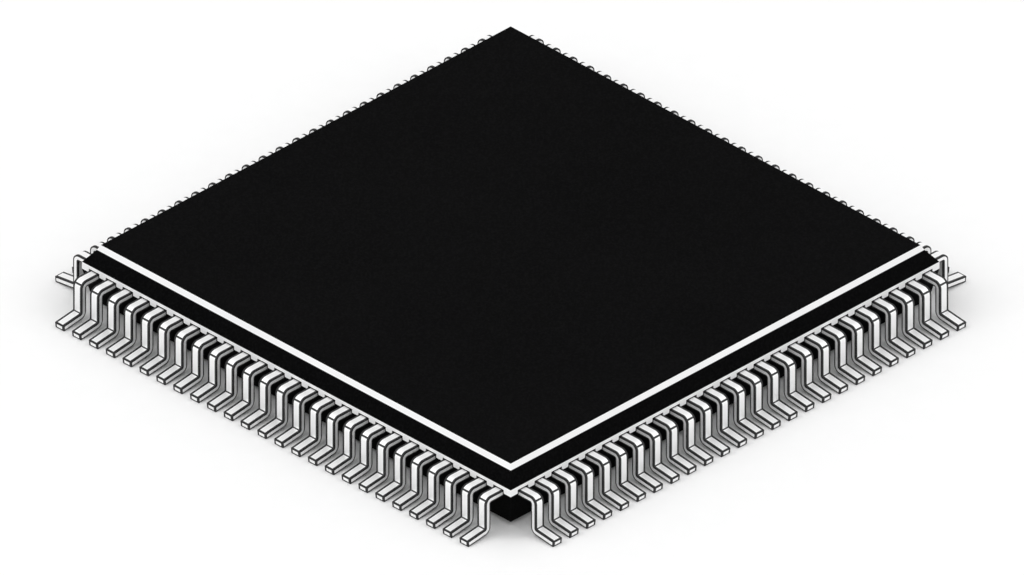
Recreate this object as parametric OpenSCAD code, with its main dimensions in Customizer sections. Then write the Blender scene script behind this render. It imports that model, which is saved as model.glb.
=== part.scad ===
// Quad flat pack: a square moulded chip body with gull-wing leads along all four sides.
// Millimetres. The origin is on the board, under the centre of the body, and +Z points away from the board.

/* [Body] */
// side of the square body at its widest, along the parting land
body_side = 14; // [14:0.1:16]
// height of the body's top face above the board
total_height = 1.62; // [1.5:0.01:1.75]
// air gap between the board and the underside of the body
standoff = 0.15; // [0.05:0.01:0.15]
// height of the parting land's lower edge above the board
land_foot = 0.98; // [0.8:0.005:1]
// height of the upright land that runs round the parting line
land_height = 0.185; // [0.15:0.005:0.25]
// how far the underside's edge lies in from the land
lower_draft = 0.175; // [0.05:0.005:0.2]
// how far the upper slope leans in from the land
upper_draft = 0.245; // [0.1:0.005:0.35]
// height of the bevel along the top edges
bevel_height = 0.13; // [0.1:0.002:0.2]
// how far the bevel leans in
bevel_run = 0.065; // [0.03:0.005:0.15]

/* [Ejector marks] */
// diameter of each round ejector mark in the underside
mark_diameter = 1.5; // [1:0.1:2]
// depth of an ejector mark
mark_depth = 0.03; // [0.02:0.01:0.05]
// distance between neighbouring ejector marks
mark_spacing = 8.5; // [7:0.1:10]

/* [Leads] */
// leads on each side, an odd number
leads_per_side = 25; // [17:2:25]
// distance from the body's side to the middle of the last lead in a row
row_margin = 0.4; // [0.4:0.05:1]
// width of a lead
lead_width = 0.28; // [0.2:0.01:0.28]
// thickness of the lead frame's sheet
sheet = 0.15; // [0.1:0.005:0.15]
// how far a lead's toe stands out from the body
lead_reach = 1.14; // [1:0.01:1.3]
// how far the upright part of a lead stands out from the body
shoulder = 0.55; // [0.45:0.01:0.6]
// inside radius of both bends
bend_radius = 0.03; // [0.02:0.01:0.14]
// angle by which the foot points down towards its toe
foot_angle = 7; // [0:0.5:7]

/* [Lead frame inside the body] */
// length of each lead that stays straight behind the body's side, before it fans inwards
fan_setback = 0.05; // [0.03:0.01:0.06]
// distance from the centre of the part to the inner tips of the leads
tip_reach = 4.25; // [4:0.05:4.5]
// distance between neighbouring inner tips
tip_pitch = 0.30; // [0.26:0.01:0.3]
// width of an inner tip
tip_width = 0.18; // [0.14:0.01:0.2]
// side of the square paddle that carries the die
paddle_side = 6.8; // [6.4:0.1:7]
// how far the paddle is pressed down below the leads
paddle_drop = 0.25; // [0.15:0.01:0.3]
// width of each tie bar
tie_width = 0.15; // [0.1:0.01:0.15]
// moulding left between a tie bar's end and the body's corner
tie_cover = 0.20; // [0.15:0.01:0.25]

/* [Die and wires] */
// side of the square silicon die
die_side = 6; // [5:0.1:6.2]
// thickness of the die
die_thickness = 0.28; // [0.2:0.01:0.3]
// thickness of the adhesive under the die
glue_line = 0.025; // [0.02:0.005:0.04]
// how far the adhesive squeezes out past the die
glue_margin = 0.1; // [0.05:0.01:0.1]
// thickness of a bond wire
wire = 0.03; // [0.02:0.005:0.035]
// height of a wire's loop above the die
loop_height = 0.15; // [0.1:0.01:0.2]
// distance between neighbouring bond pads
pad_pitch = 0.20; // [0.18:0.01:0.2]
// distance from the edge of the die to the bond pads
pad_inset = 0.12; // [0.1:0.01:0.2]
// distance from a lead's inner tip to the end of its wire
stitch_inset = 0.2; // [0.15:0.01:0.3]

/* [Hidden] */
$fn = 32;
// a length that carries every cut past the surface it opens
over = 1;
half = body_side / 2;
last_lead = (leads_per_side - 1) / 2;
// the leads share out the side between the two margins: 0.55
lead_pitch = (body_side - 2 * row_margin) / (leads_per_side - 1);
fan_start = half - fan_setback;
upright = half + shoulder;
toe = half + lead_reach;
// the land's lower edge falls a little below the sheet's upper face
lead_top = land_foot + sheet * 0.45;
outer_bend = bend_radius + sheet;
foot_run = (toe - upright - bend_radius * (1 - sin(foot_angle))) / cos(foot_angle);
foot_bend_height = outer_bend * cos(foot_angle) + foot_run * sin(foot_angle);
paddle_top = lead_top - paddle_drop;
corner = half * sqrt(2);
die_top = paddle_top + glue_line + die_thickness;

// Section across the middle of the body: drafted lower half, upright land, sloped upper half and bevel.
module body_section() {
    right = [
        [half - lower_draft, standoff],
        [half, land_foot],
        [half, land_foot + land_height],
        [half - upper_draft, total_height - bevel_height],
        [half - upper_draft - bevel_run, total_height]
    ];
    left = [for (i = [len(right) - 1:-1:0]) [-right[i].x, right[i].y]];
    polygon(concat(right, left));
}

// The same section swept both ways and kept where the sweeps meet, which mitres the four corners.
module body_block() {
    intersection() {
        rotate([90, 0, 0]) linear_extrude(body_side + over, center = true) body_section();
        rotate([90, 0, 90]) linear_extrude(body_side + over, center = true) body_section();
    }
}

// Shallow rounds left by the pins that push the body out of its mould.
module ejector_marks() {
    for (x = [-1, 1], y = [-1, 1])
        translate([x * mark_spacing / 2, y * mark_spacing / 2, standoff - over])
            cylinder(h = over + mark_depth, d = mark_diameter);
}

// A quarter or less of a bend, from angle a0 to angle a1 about its centre.
module bend(a0, a1) {
    intersection() {
        difference() {
            circle(outer_bend);
            circle(bend_radius);
        }
        polygon([
            [0, 0],
            2 * outer_bend * [cos(a0), sin(a0)],
            3 * outer_bend * [cos((a0 + a1) / 2), sin((a0 + a1) / 2)],
            2 * outer_bend * [cos(a1), sin(a1)]
        ]);
    }
}

// Side view of one lead: flat inside the body, over the shoulder, down, and out along the foot.
module lead_profile() {
    translate([tip_reach, lead_top - sheet]) square([upright - outer_bend - tip_reach, sheet]);
    translate([upright - outer_bend, lead_top - outer_bend]) bend(0, 90);
    translate([upright - sheet, foot_bend_height])
        square([sheet, lead_top - outer_bend - foot_bend_height]);
    translate([upright + bend_radius, foot_bend_height]) {
        bend(180, 270 - foot_angle);
        rotate(-foot_angle) translate([0, -outer_bend]) square([foot_run, sheet]);
    }
}

// Plan of lead number i, counted from the middle of its side: straight outside the body, fanned in within it.
module lead_plan(i) {
    polygon([
        [tip_reach, i * tip_pitch - tip_width / 2],
        [fan_start, i * lead_pitch - lead_width / 2],
        [toe + over, i * lead_pitch - lead_width / 2],
        [toe + over, i * lead_pitch + lead_width / 2],
        [fan_start, i * lead_pitch + lead_width / 2],
        [tip_reach, i * tip_pitch + tip_width / 2]
    ]);
}

// One side's leads, stamped to their plan and formed to their profile.
module lead_row() {
    intersection() {
        rotate([90, 0, 0]) linear_extrude(body_side, center = true) lead_profile();
        linear_extrude(total_height) for (i = [-last_lead:last_lead]) lead_plan(i);
    }
}

// A tie bar from under the die, up out of the pressed-down paddle and on to a corner of the body.
module tie_bar() {
    rise = paddle_side / sqrt(2) + tie_width;
    end = corner - tie_cover;
    rotate([90, 0, 45]) linear_extrude(tie_width, center = true) polygon([
        [paddle_side / 4, paddle_top - sheet],
        [rise + sheet * 0.4, paddle_top - sheet],
        [rise + paddle_drop + sheet * 0.4, lead_top - sheet],
        [end, lead_top - sheet],
        [end, lead_top],
        [rise + paddle_drop, lead_top],
        [rise, paddle_top],
        [paddle_side / 4, paddle_top]
    ]);
}

module die_paddle() {
    color("peru") {
        translate([-paddle_side / 2, -paddle_side / 2, paddle_top - sheet])
            cube([paddle_side, paddle_side, sheet]);
        for (a = [0:90:270]) rotate(a) tie_bar();
    }
}

module die_attach() {
    side = die_side + 2 * glue_margin;
    color("lightgrey")
        translate([-side / 2, -side / 2, paddle_top])
            cube([side, side, glue_line]);
}

module silicon_die() {
    color("slategrey")
        translate([-die_side / 2, -die_side / 2, paddle_top + glue_line])
            cube([die_side, die_side, die_thickness]);
}

// A bond wire: straight up from its pad, over the loop, down to the lead's inner tip and flat along it.
module bond_wire(run) {
    landing = lead_top - die_top;
    polygon([
        [-wire / 2, 0],
        [wire / 2, 0],
        [wire / 2, loop_height - 2 * wire],
        [2 * wire, loop_height - wire],
        [run / 3, loop_height - wire],
        [run - 2 * wire, landing],
        [run + wire, landing],
        [run + wire, landing + wire],
        [run - wire, landing + wire],
        [run / 3, loop_height],
        [wire, loop_height],
        [-wire / 2, loop_height - 2 * wire]
    ]);
}

module wire_row() {
    pad_reach = die_side / 2 - pad_inset;
    step_out = tip_reach + stitch_inset - pad_reach;
    for (i = [-last_lead:last_lead]) {
        stitch = i * (tip_pitch + (lead_pitch - tip_pitch) * stitch_inset / (fan_start - tip_reach));
        step_along = stitch - i * pad_pitch;
        translate([pad_reach, i * pad_pitch, die_top])
            rotate([90, 0, atan2(step_along, step_out)])
                linear_extrude(wire, center = true) bond_wire(norm([step_out, step_along]));
    }
}

module leads_right() color("gainsboro") lead_row();
module leads_back() color("gainsboro") rotate(90) lead_row();
module leads_left() color("gainsboro") rotate(180) lead_row();
module leads_front() color("gainsboro") rotate(270) lead_row();

module bond_wires_right() color("gold") wire_row();
module bond_wires_back() color("gold") rotate(90) wire_row();
module bond_wires_left() color("gold") rotate(180) wire_row();
module bond_wires_front() color("gold") rotate(270) wire_row();

// The moulding, which fills every space round the lead frame, the die and the wires.
module molded_body() {
    color([0.08, 0.08, 0.09])
        difference() {
            body_block();
            ejector_marks();
            for (a = [0:90:270]) rotate(a) {
                lead_row();
                wire_row();
            }
            die_paddle();
            die_attach();
            silicon_die();
        }
}

molded_body();
leads_front();
leads_right();
leads_back();
leads_left();
die_paddle();
die_attach();
silicon_die();
bond_wires_front();
bond_wires_right();
bond_wires_back();
bond_wires_left();
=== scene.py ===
"""Quad flat pack chip: finishes for the moulded body, the leads and the parts inside, on a white sweep."""

import bpy
from math import cos, radians, sin
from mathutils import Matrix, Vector


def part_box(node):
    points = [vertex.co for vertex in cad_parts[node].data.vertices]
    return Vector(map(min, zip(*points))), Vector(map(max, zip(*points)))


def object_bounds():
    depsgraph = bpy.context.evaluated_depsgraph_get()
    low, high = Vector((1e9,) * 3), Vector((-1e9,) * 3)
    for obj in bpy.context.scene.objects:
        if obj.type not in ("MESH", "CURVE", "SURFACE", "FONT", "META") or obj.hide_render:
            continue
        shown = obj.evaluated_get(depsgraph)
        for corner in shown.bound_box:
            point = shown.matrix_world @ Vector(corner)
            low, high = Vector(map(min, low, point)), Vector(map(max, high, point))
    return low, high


bl_info = {
    "name": "Quad flat pack chip",
    "version": (1, 0, 0),
    "blender": (4, 5, 0),
    "location": "3D View > Sidebar > Chip",
    "description": "Finishes and stage for a square chip package with gull-wing leads",
    "category": "Object",
}

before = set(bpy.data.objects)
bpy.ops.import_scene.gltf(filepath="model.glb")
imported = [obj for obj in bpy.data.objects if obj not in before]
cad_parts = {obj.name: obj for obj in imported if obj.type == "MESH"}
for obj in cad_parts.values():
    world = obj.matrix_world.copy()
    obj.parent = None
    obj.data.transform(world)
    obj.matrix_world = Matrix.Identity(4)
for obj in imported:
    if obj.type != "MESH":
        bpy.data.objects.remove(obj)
CAD_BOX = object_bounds()

MM = 0.001
SIDES = ("front", "right", "back", "left")


# ---------------------------------------------------------------- sizes read off the CAD parts


def corner_levels():
    """Heights at which the body's mitred corners turn, from the underside to the top."""
    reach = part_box("molded_body")[1].x
    heights = set()
    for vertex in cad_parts["molded_body"].data.vertices:
        x, y, z = vertex.co
        if x > 0.9 * reach and abs(x - y) < 0.001 * MM:
            heights.add(round(z, 7))
    if len(heights) != 5:
        raise ValueError(f"the body's corner turns at {len(heights)} heights instead of 5")
    return sorted(heights)


def lead_edges():
    """Both edges of every lead in the front row, read at the toes, from left to right."""
    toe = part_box("leads_front")[0].y
    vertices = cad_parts["leads_front"].data.vertices
    return sorted({round(v.co.x, 7) for v in vertices if v.co.y < toe + 0.05 * MM})


_, LAND_FOOT, LAND_TOP, BEVEL_FOOT, _ = corner_levels()
LEAD_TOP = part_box("leads_front")[1].z
LEAD_EDGES = lead_edges()
LEAD_WIDTH = LEAD_EDGES[1] - LEAD_EDGES[0]
LEAD_PITCH = LEAD_EDGES[2] - LEAD_EDGES[0]
ROW_END = LEAD_EDGES[-1]


# ---------------------------------------------------------------- settings


def colour(name, description, default):
    return bpy.props.FloatVectorProperty(
        name=name, description=description, default=default, size=3, min=0, max=1, subtype="COLOR"
    )


def length(name, description, default):
    return bpy.props.FloatProperty(
        name=name, description=description, default=default, min=0, precision=6, unit="LENGTH",
        subtype="DISTANCE",
    )


def angle(name, description, degrees):
    return bpy.props.FloatProperty(
        name=name, description=description, default=radians(degrees), unit="ROTATION", subtype="ANGLE"
    )


def share(name, description, default):
    return bpy.props.FloatProperty(
        name=name, description=description, default=default, min=0, max=1, subtype="FACTOR"
    )


def strength(name, description, default):
    return bpy.props.FloatProperty(name=name, description=description, default=default, min=0)


def power(name, description, default):
    return bpy.props.FloatProperty(
        name=name, description=description, default=default, min=0, unit="POWER", subtype="POWER"
    )


class MouldingSettings(bpy.types.PropertyGroup):
    """Colours and grain of the black moulding compound, and the tones of the highlight painted on its
    bevel and parting land.
    """

    resin: colour("Resin", "Darkest tone of the compound", (0.0015, 0.0015, 0.0016))
    filler: colour("Filler", "Tone of the filler grains in the compound", (0.004, 0.004, 0.0042))
    # painted highlight: the two pale tones below are painted on the bevel and the parting land in place of
    # the light those edges catch
    pale: colour("Pale edge", "Burnished tone of the bevel and the parting land", (0.93, 0.93, 0.93))
    pale_low: colour("Pale edge, low", "Darkest tone in the burnished edges", (0.86, 0.86, 0.865))
    grain: length("Grain", "Size of one grain of the matte surface", 0.05 * MM)
    relief: length("Relief", "Height of the matte surface's grain", 0.002 * MM)
    edge_blur: length("Edge blur", "Width over which a pale edge turns black", 0.006 * MM)
    seam: length("Seam", "Width of the dark seam where the compound meets a lead", 0.03 * MM)


class LeadSettings(bpy.types.PropertyGroup):
    """Colours, grain and edges of the tin-plated leads, with the shade painted along their edges and
    across their bends.
    """

    bright: colour("Tin", "Tone of the tin plate", (0.97, 0.97, 0.97))
    dull: colour("Tin, dull", "Duller tone between the tin's crystals", (0.9, 0.9, 0.9))
    # painted shade: this dark tone is painted along the leads' edges and across their bends, where shade
    # falls
    painted_shade: colour("Thin plate", "Dark tone of the sheared edges and the creases", (0.025, 0.025, 0.026))
    crystal: length("Crystal", "Size of one crystal of the plating", 0.03 * MM)
    relief: length("Relief", "Height of the plating's grain", 0.001 * MM)
    metal: share("Metal", "How much of the plate's shine is metallic", 0.45)
    # widths of the shade painted on the bevelled edges and along the broad faces beside them
    edge_width: length("Edge width", "Width of the dark band on both sides of a sheared edge", 0.036 * MM)
    edge_shade_width: length("Burr width", "Width of the same band along a lead's broad faces", 0.056 * MM)
    edge_radius: length("Edge radius", "Radius of the sheared edges", 0.005 * MM)
    # painted shade: how much of each bend its dark line of painted shade covers
    crease: share("Shoulder crease", "How much of a shoulder bend its dark crease covers", 0.22)
    heel_crease: share("Heel crease", "How much of a heel bend its dark crease covers", 0.78)


class InsideSettings(bpy.types.PropertyGroup):
    """Colours of the parts inside the moulding."""

    copper: colour("Copper", "Bare copper alloy of the paddle and tie bars", (0.72, 0.42, 0.27))
    silver: colour("Adhesive", "Silver-filled adhesive under the die", (0.6, 0.6, 0.62))
    silicon: colour("Silicon", "Polished face of the die", (0.18, 0.19, 0.22))
    gold: colour("Gold", "Drawn gold of the bond wires", (0.9, 0.68, 0.3))


class StageSettings(bpy.types.PropertyGroup):
    """Floor, light and camera."""

    floor_size: length("Floor", "Side of the square floor", 3)
    sky: strength("Sky", "Strength of the even sky light", 0.84)
    key: power("Key light", "Power of the lamp on the left", 0.13)
    fill: power("Fill light", "Power of the lamp on the right", 0.09)
    lamp_distance: length("Lamp distance", "From the chip to each lamp", 0.25)
    lamp_size: length("Lamp size", "Side of each square lamp", 0.16)
    azimuth: angle("Azimuth", "Camera's turn from the front towards the right", 45)
    elevation: angle("Elevation", "Camera's height angle", 32.25)
    view_width: length("View width", "Width that the camera takes in", 23.64 * MM)
    aim_right: length("Aim right", "How far to the right of the origin the camera aims", 0.030 * MM)
    aim_up: length("Aim up", "How far above the origin the camera aims", 0.39 * MM)


# ---------------------------------------------------------------- finishes


class Finish:
    """A material, with a short way to write its nodes."""

    def __init__(self, name):
        self.material = bpy.data.materials.new(name)
        self.material.use_nodes = True
        self.tree = self.material.node_tree
        self.shader = self.tree.nodes["Principled BSDF"]
        self.place = self.add("ShaderNodeTexCoord").outputs["Object"]
        self.facing = self.add("ShaderNodeNewGeometry").outputs["Normal"]

    def add(self, kind, inputs=(), **settings):
        node = self.tree.nodes.new(kind)
        for key, value in settings.items():
            setattr(node, key, value)
        for key, value in dict(inputs).items():
            self.plug(node.inputs[key], value)
        return node

    def plug(self, socket, value):
        """Links a socket to another one, or sets it to a number or a colour."""
        if isinstance(value, bpy.types.NodeSocket):
            self.tree.links.new(value, socket)
        elif socket.type == "RGBA":
            socket.default_value = (*value[:3], 1)
        else:
            socket.default_value = value

    def set(self, **inputs):
        for key, value in inputs.items():
            self.plug(self.shader.inputs[key.replace("_", " ")], value)
        return self.material

    def noise(self, size, detail=2.0, roughness=0.5):
        settings = {"Vector": self.place, "Scale": 1 / size, "Detail": detail, "Roughness": roughness}
        return self.add("ShaderNodeTexNoise", settings).outputs["Fac"]

    def spread(self, value, low, high, to_low=0.0, to_high=1.0):
        settings = {"Value": value, "From Min": low, "From Max": high, "To Min": to_low, "To Max": to_high}
        return self.add("ShaderNodeMapRange", settings).outputs["Result"]

    def math(self, operation, *values):
        node = self.add("ShaderNodeMath", operation=operation)
        for socket, value in zip(node.inputs, values):
            self.plug(socket, value)
        return node.outputs[0]

    def every(self, *masks):
        """1 where every mask is 1."""
        joined = masks[0]
        for mask in masks[1:]:
            joined = self.math("MULTIPLY", joined, mask)
        return joined

    def split(self, vector, axis):
        return self.add("ShaderNodeSeparateXYZ", {"Vector": vector}).outputs[axis]

    def size_of(self, vector, axis):
        return self.math("ABSOLUTE", self.split(vector, axis))

    def choose(self, factor, first, second):
        """The second number where the factor is 1, and the first where it is 0."""
        node = self.add("ShaderNodeMix", {"Factor": factor}, data_type="FLOAT")
        self.plug(node.inputs["A"], first)
        self.plug(node.inputs["B"], second)
        return node.outputs["Result"]

    def mix(self, factor, first, second):
        node = self.add("ShaderNodeMix", data_type="RGBA")
        for key, value in (("Factor", factor), ("A", first), ("B", second)):
            self.plug(next(i for i in node.inputs if i.name == key and i.enabled), value)
        return next(o for o in node.outputs if o.enabled)

    def bump(self, height, relief):
        return self.add("ShaderNodeBump", {"Height": height, "Distance": relief}).outputs["Normal"]


def shaded(tone, factor):
    return tuple(factor * c for c in tone)


def dress(node, material):
    """Puts one material on a CAD node's every slot."""
    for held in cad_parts[node].material_slots:
        held.material = material


def painted_highlight_mask(f, s):
    """Mask of the highlight painted on the bevel and the parting land, less a band round each lead's root
    where the compound stays black.
    """
    height = f.split(f.place, "Z")
    blur = s.edge_blur / 2
    above_foot = f.spread(height, LAND_FOOT - blur, LAND_FOOT + blur)
    below_top = f.spread(height, LAND_TOP - blur, LAND_TOP + blur, 1, 0)
    above_bevel_foot = f.spread(height, BEVEL_FOOT - blur, BEVEL_FOOT + blur)
    off_the_top = f.spread(f.split(f.facing, "Z"), 0.8, 0.95, 1, 0)

    on_x_side = f.math("GREATER_THAN", f.size_of(f.facing, "X"), 0.5)
    along = f.choose(on_x_side, f.split(f.place, "X"), f.split(f.place, "Y"))
    off_lead = f.math("PINGPONG", along, LEAD_PITCH / 2)
    seam = f.every(
        f.math("LESS_THAN", off_lead, LEAD_WIDTH / 2 + s.seam),
        f.math("LESS_THAN", f.math("ABSOLUTE", along), ROW_END + s.seam),
        f.math("LESS_THAN", height, LEAD_TOP + s.seam),
    )
    land = f.every(above_foot, below_top, f.math("SUBTRACT", 1, seam))
    return f.math("MAXIMUM", land, f.every(above_bevel_foot, off_the_top))


def moulding_compound(s):
    """Matte black compound with fine filler, with a highlight painted pale along the bevel and the parting
    land.
    """
    f = Finish("moulding_compound")
    grain = f.noise(s.grain, 3, 0.6)
    mottle = f.noise(60 * s.grain, 4, 0.55)
    compound = f.mix(f.spread(grain, 0.45, 0.62), s.resin, s.filler)
    # painted highlight on the bevel and the parting land, mottled between its two tones
    painted_highlight = f.mix(f.spread(mottle, 0.35, 0.65), s.pale_low, s.pale)
    return f.set(
        Base_Color=f.mix(painted_highlight_mask(f, s), compound, painted_highlight),
        Roughness=f.spread(mottle, 0.3, 0.7, 0.55, 0.63),
        Specular_IOR_Level=0.012,
        Normal=f.bump(grain, s.relief),
    )


# how far a bend's surface faces up where its line of painted shade lies
CREASE_TILT = sin(radians(35))


def creases(f, s):
    """Mask of the line of painted shade across each shoulder bend, and of the one inside each heel bend.
    """
    in_heel = f.math("LESS_THAN", f.split(f.place, "Z"), LEAD_TOP / 2)
    tilt = f.math("SUBTRACT", f.split(f.facing, "Z"), CREASE_TILT)
    half_width = f.choose(in_heel, s.crease / 2, s.heel_crease / 2)
    return f.math("LESS_THAN", f.math("ABSOLUTE", tilt), half_width)


def painted_edge_shade(f, s):
    """Mask of the bands of painted shade along both edges of a lead's broad faces."""
    in_x_row = f.math("GREATER_THAN", f.size_of(f.place, "X"), f.size_of(f.place, "Y"))
    across = f.choose(in_x_row, f.split(f.place, "X"), f.split(f.place, "Y"))
    off_middle = f.math("PINGPONG", across, LEAD_PITCH / 2)
    sideways = f.choose(in_x_row, f.split(f.facing, "X"), f.split(f.facing, "Y"))
    return f.every(
        f.math("GREATER_THAN", off_middle, LEAD_WIDTH / 2 - s.edge_shade_width),
        f.math("LESS_THAN", f.math("ABSOLUTE", sideways), 0.5),
    )


def tin_plate(s):
    """Matte tin plate with a fine crystal grain, with shade painted dark across the bends and along the
    edges of the broad faces.
    """
    f = Finish("tin_plate")
    crystal = f.noise(s.crystal, 3, 0.6)
    drift = f.noise(20 * s.crystal, 3, 0.5)
    plate = f.mix(f.spread(drift, 0.3, 0.7), s.dull, s.bright)
    return f.set(
        # painted shade across the bends and along the edges of the broad faces
        Base_Color=f.mix(f.math("MAXIMUM", creases(f, s), painted_edge_shade(f, s)), plate, s.painted_shade),
        Metallic=s.metal,
        Roughness=f.spread(crystal, 0.3, 0.7, 0.42, 0.56),
        Normal=f.bump(crystal, s.relief),
    )


def edge_shade_band(s):
    """The bevelled bands along the sheared edges, painted dark as their shade."""
    f = Finish("edge_shade_band")
    drift = f.noise(4 * s.crystal, 3, 0.6)
    return f.set(
        # painted shade on the bevelled edge bands, varied a little in tone
        Base_Color=f.mix(f.spread(drift, 0.3, 0.7), shaded(s.painted_shade, 0.6), s.painted_shade),
        Metallic=0.6,
        Roughness=f.spread(drift, 0.3, 0.7, 0.45, 0.6),
    )


def finish_edges(node, material, s):
    """Gives a CAD node's sharp edges a band of painted shade on both faces, and rounds them slightly."""
    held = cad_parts[node]
    held.data.materials.append(material)
    weld = held.modifiers.new("weld", "WELD")
    weld.merge_threshold = 0.0001 * MM
    whole = held.modifiers.new("whole_faces", "DECIMATE")
    whole.decimate_type = "DISSOLVE"
    whole.angle_limit = radians(2)
    for name, width in (("edge_band", s.edge_width), ("rounding", s.edge_radius)):
        bevel = held.modifiers.new(name, "BEVEL")
        bevel.width = width
        bevel.segments = 2
        bevel.limit_method = "ANGLE"
        bevel.angle_limit = radians(35)
        bevel.use_clamp_overlap = False
    band = held.modifiers["edge_band"]
    band.profile = 1.0
    band.material = len(held.data.materials) - 1


def worked_metal(name, tone, roughness):
    """A plain worked metal with slight drift in tone."""
    f = Finish(name)
    drift = f.noise(0.4 * MM, 3, 0.5)
    return f.set(
        Base_Color=f.mix(f.spread(drift, 0.3, 0.7), shaded(tone, 0.8), tone),
        Metallic=1.0,
        Roughness=f.spread(drift, 0.3, 0.7, roughness, roughness + 0.12),
    )


def silicon(s):
    """Polished silicon with a faint grid of circuit blocks."""
    f = Finish("silicon")
    blocks = f.add("ShaderNodeTexBrick", {
        "Vector": f.place, "Scale": 1 / MM, "Mortar Size": 0.02,
        "Color1": s.silicon, "Color2": shaded(s.silicon, 0.7), "Mortar": shaded(s.silicon, 0.4),
    })
    return f.set(
        Base_Color=blocks.outputs["Color"],
        Roughness=f.spread(f.noise(0.5 * MM), 0.3, 0.7, 0.12, 0.2),
    )


def die_adhesive(s):
    """Silver-filled adhesive, cured."""
    f = Finish("die_adhesive")
    flake = f.noise(0.04 * MM, 2, 0.6)
    return f.set(
        Base_Color=f.mix(flake, shaded(s.silver, 0.6), s.silver),
        Metallic=0.4,
        Roughness=f.spread(flake, 0.3, 0.7, 0.4, 0.6),
    )


def white_paper():
    """White paper with a hardly visible tooth."""
    f = Finish("white_paper")
    tooth = f.noise(0.6 * MM, 3, 0.5)
    return f.set(
        Base_Color=f.mix(tooth, (0.97, 0.97, 0.97), (1, 1, 1)),
        Roughness=f.spread(tooth, 0.3, 0.7, 0.9, 1.0),
        Specular_IOR_Level=0.0,
    )


# ---------------------------------------------------------------- stage


def set_sky(s):
    """An even sky, plain white where it is seen directly, in a reflection or through glass."""
    world = bpy.data.worlds.new("even_sky")
    world.use_nodes = True
    tree = world.node_tree
    sky = tree.nodes["Background"]
    sky.inputs["Color"].default_value = (1, 1, 1, 1)
    sky.inputs["Strength"].default_value = s.sky
    seen = tree.nodes.new("ShaderNodeBackground")
    seen.inputs["Color"].default_value = (1, 1, 1, 1)
    seen.inputs["Strength"].default_value = 1
    path = tree.nodes.new("ShaderNodeLightPath")
    either = path.outputs["Is Camera Ray"]
    for ray in ("Is Glossy Ray", "Is Transmission Ray"):
        largest = tree.nodes.new("ShaderNodeMath")
        largest.operation = "MAXIMUM"
        tree.links.new(either, largest.inputs[0])
        tree.links.new(path.outputs[ray], largest.inputs[1])
        either = largest.outputs[0]
    blend = tree.nodes.new("ShaderNodeMixShader")
    tree.links.new(either, blend.inputs["Fac"])
    tree.links.new(sky.outputs[0], blend.inputs[1])
    tree.links.new(seen.outputs[0], blend.inputs[2])
    tree.links.new(blend.outputs[0], tree.nodes["World Output"].inputs["Surface"])
    bpy.context.scene.world = world


def direction(azimuth, elevation):
    """From the chip towards a lamp or the camera, turned from the front towards the right."""
    return Vector((sin(azimuth) * cos(elevation), -cos(azimuth) * cos(elevation), sin(elevation)))


KEY_SIDE = direction(radians(-35), radians(40))
FILL_SIDE = direction(radians(125), radians(38))
CAMERA_DISTANCE = 0.4


def place_on_stage(name, data, location, towards):
    """Adds a lamp or a camera that looks back along the direction it stands in."""
    held = bpy.data.objects.new(name, data)
    held.location = location
    held.rotation_euler = towards.to_track_quat("Z", "Y").to_euler()
    bpy.context.scene.collection.objects.link(held)
    return held


def add_lamp(name, watts, towards, s):
    lamp = bpy.data.lights.new(name, "AREA")
    lamp.shape = "SQUARE"
    lamp.size = s.lamp_size
    lamp.energy = watts
    place_on_stage(name, lamp, towards * s.lamp_distance, towards)


def add_camera(s):
    camera = bpy.data.cameras.new("camera")
    camera.type = "ORTHO"
    camera.ortho_scale = s.view_width
    camera.clip_start = 0.001
    camera.clip_end = 10
    towards = direction(s.azimuth, s.elevation)
    aim = towards.to_track_quat("Z", "Y") @ Vector((s.aim_right, s.aim_up, 0))
    bpy.context.scene.camera = place_on_stage("camera", camera, aim + towards * CAMERA_DISTANCE, towards)


# ---------------------------------------------------------------- operators


class CHIP_OT_moulding(bpy.types.Operator):
    """Give the moulded body its matte black compound and the highlight painted on its edges"""

    bl_idname = "chip.moulding"
    bl_label = "Moulded body"

    def execute(self, context):
        dress("molded_body", moulding_compound(context.scene.chip_moulding))
        return {"FINISHED"}


class CHIP_OT_leads(bpy.types.Operator):
    """Plate the four rows of leads with matte tin and finish their edges with painted shade"""

    bl_idname = "chip.leads"
    bl_label = "Leads"

    def execute(self, context):
        s = context.scene.chip_leads
        tin = tin_plate(s)
        edge = edge_shade_band(s)
        for side in SIDES:
            dress(f"leads_{side}", tin)
            finish_edges(f"leads_{side}", edge, s)
        return {"FINISHED"}


class CHIP_OT_paddle(bpy.types.Operator):
    """Finish the die paddle and its tie bars in bare copper alloy"""

    bl_idname = "chip.paddle"
    bl_label = "Die paddle"

    def execute(self, context):
        dress("die_paddle", worked_metal("copper", context.scene.chip_inside.copper, 0.35))
        return {"FINISHED"}


class CHIP_OT_adhesive(bpy.types.Operator):
    """Finish the adhesive under the die"""

    bl_idname = "chip.adhesive"
    bl_label = "Die adhesive"

    def execute(self, context):
        dress("die_attach", die_adhesive(context.scene.chip_inside))
        return {"FINISHED"}


class CHIP_OT_die(bpy.types.Operator):
    """Polish the silicon die"""

    bl_idname = "chip.die"
    bl_label = "Silicon die"

    def execute(self, context):
        dress("silicon_die", silicon(context.scene.chip_inside))
        return {"FINISHED"}


class CHIP_OT_wires(bpy.types.Operator):
    """Finish the four rows of bond wires in drawn gold"""

    bl_idname = "chip.wires"
    bl_label = "Bond wires"

    def execute(self, context):
        gold = worked_metal("gold", context.scene.chip_inside.gold, 0.2)
        for side in SIDES:
            dress(f"bond_wires_{side}", gold)
        return {"FINISHED"}


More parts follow.
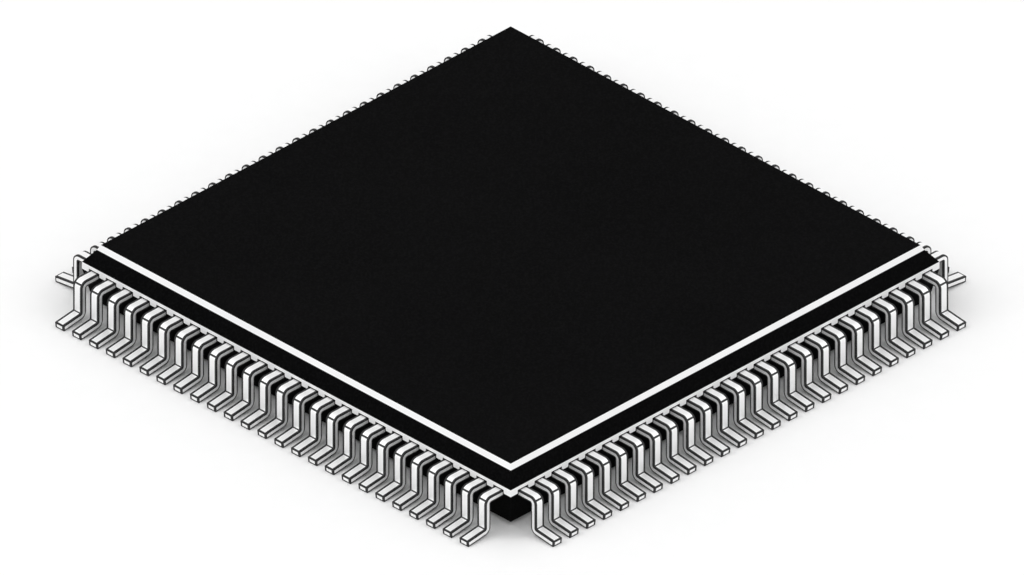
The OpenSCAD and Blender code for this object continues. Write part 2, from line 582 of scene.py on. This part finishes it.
class CHIP_OT_stage(bpy.types.Operator):
    """Lay the white floor, and set the sky, the lamps and the camera"""

    bl_idname = "chip.stage"
    bl_label = "Stage"

    def execute(self, context):
        s = context.scene.chip_stage
        bpy.ops.mesh.primitive_plane_add(size=s.floor_size, location=(0, 0, CAD_BOX[0][2]))
        floor = context.object
        floor.name = "floor"
        floor.data.materials.append(white_paper())
        set_sky(s)
        add_lamp("key_lamp", s.key, KEY_SIDE, s)
        add_lamp("fill_lamp", s.fill, FILL_SIDE, s)
        add_camera(s)
        context.scene.view_settings.view_transform = "Standard"
        return {"FINISHED"}


SETTINGS = {
    "chip_moulding": MouldingSettings,
    "chip_leads": LeadSettings,
    "chip_inside": InsideSettings,
    "chip_stage": StageSettings,
}
OPERATORS = {
    "chip_moulding": (CHIP_OT_moulding,),
    "chip_leads": (CHIP_OT_leads,),
    "chip_inside": (CHIP_OT_paddle, CHIP_OT_adhesive, CHIP_OT_die, CHIP_OT_wires),
    "chip_stage": (CHIP_OT_stage,),
}


class CHIP_PT_panel(bpy.types.Panel):
    """Buttons and settings for the chip"""

    bl_label = "Quad flat pack chip"
    bl_space_type = "VIEW_3D"
    bl_region_type = "UI"
    bl_category = "Chip"

    def draw(self, context):
        for name, operators in OPERATORS.items():
            box = self.layout.box()
            for operator in operators:
                box.operator(operator.bl_idname)
            for prop in SETTINGS[name].__annotations__:
                box.prop(getattr(context.scene, name), prop)


CLASSES = (*SETTINGS.values(), *(o for group in OPERATORS.values() for o in group), CHIP_PT_panel)


def register():
    for cls in CLASSES:
        bpy.utils.register_class(cls)
    for name, settings in SETTINGS.items():
        setattr(bpy.types.Scene, name, bpy.props.PointerProperty(type=settings))


def unregister():
    for name in SETTINGS:
        delattr(bpy.types.Scene, name)
    for cls in reversed(CLASSES):
        bpy.utils.unregister_class(cls)


def main():
    register()
    bpy.ops.chip.moulding()
    bpy.ops.chip.leads()
    bpy.ops.chip.paddle()
    bpy.ops.chip.adhesive()
    bpy.ops.chip.die()
    bpy.ops.chip.wires()
    bpy.ops.chip.stage()


if __name__ == "__main__":
    main()
